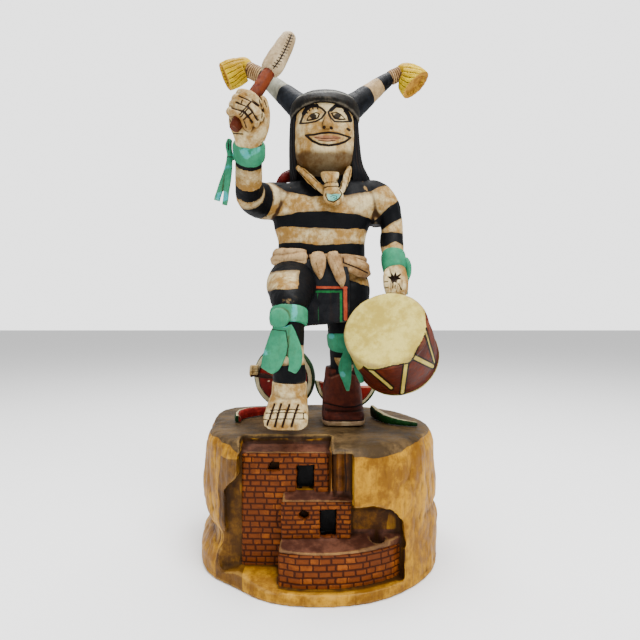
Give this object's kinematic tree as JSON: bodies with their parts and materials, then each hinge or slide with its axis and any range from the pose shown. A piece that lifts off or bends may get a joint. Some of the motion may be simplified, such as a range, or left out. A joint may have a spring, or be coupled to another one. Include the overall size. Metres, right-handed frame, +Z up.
{
  "type": "carved kachina doll",
  "caption": "Carved and painted wooden doll of a striped, horned clown holding a drum and a beater, stepping forward on a rock base with a small brick pueblo cut into its front.",
  "frame": {"origin": "centre of the rock base's flat underside, on the surface it stands on", "axes": "+Z up, -Y towards the front with the pueblo, +X to the viewer's right when facing the front"},
  "size_m": [0.1349, 0.1322, 0.2831],
  "materials": {
    "base_wood": "stained, brushed varnish",
    "figure_wood": "painted cream and black, waxed",
    "horn_wood": "painted stripes, yellow tassel",
    "beater_wood": "painted cream head, red-brown handle",
    "drum_wood": "painted pale head, red-brown barrel",
    "melon_wood": "painted red flesh, green rind",
    "knife_wood": "painted",
    "slice_wood": "painted",
    "rind_wood": "painted green"
  },
  "bodies": {
    "root": {"base": "base_wood", "figure": "figure_wood", "horn_right": "horn_wood", "horn_left": "horn_wood", "beater": "beater_wood", "drum": "drum_wood", "melon_half": "melon_wood", "knife": "knife_wood", "melon_crescent": "melon_wood", "melon_slice": "slice_wood", "melon_rind": "rind_wood"}
  },
  "joints": []
}
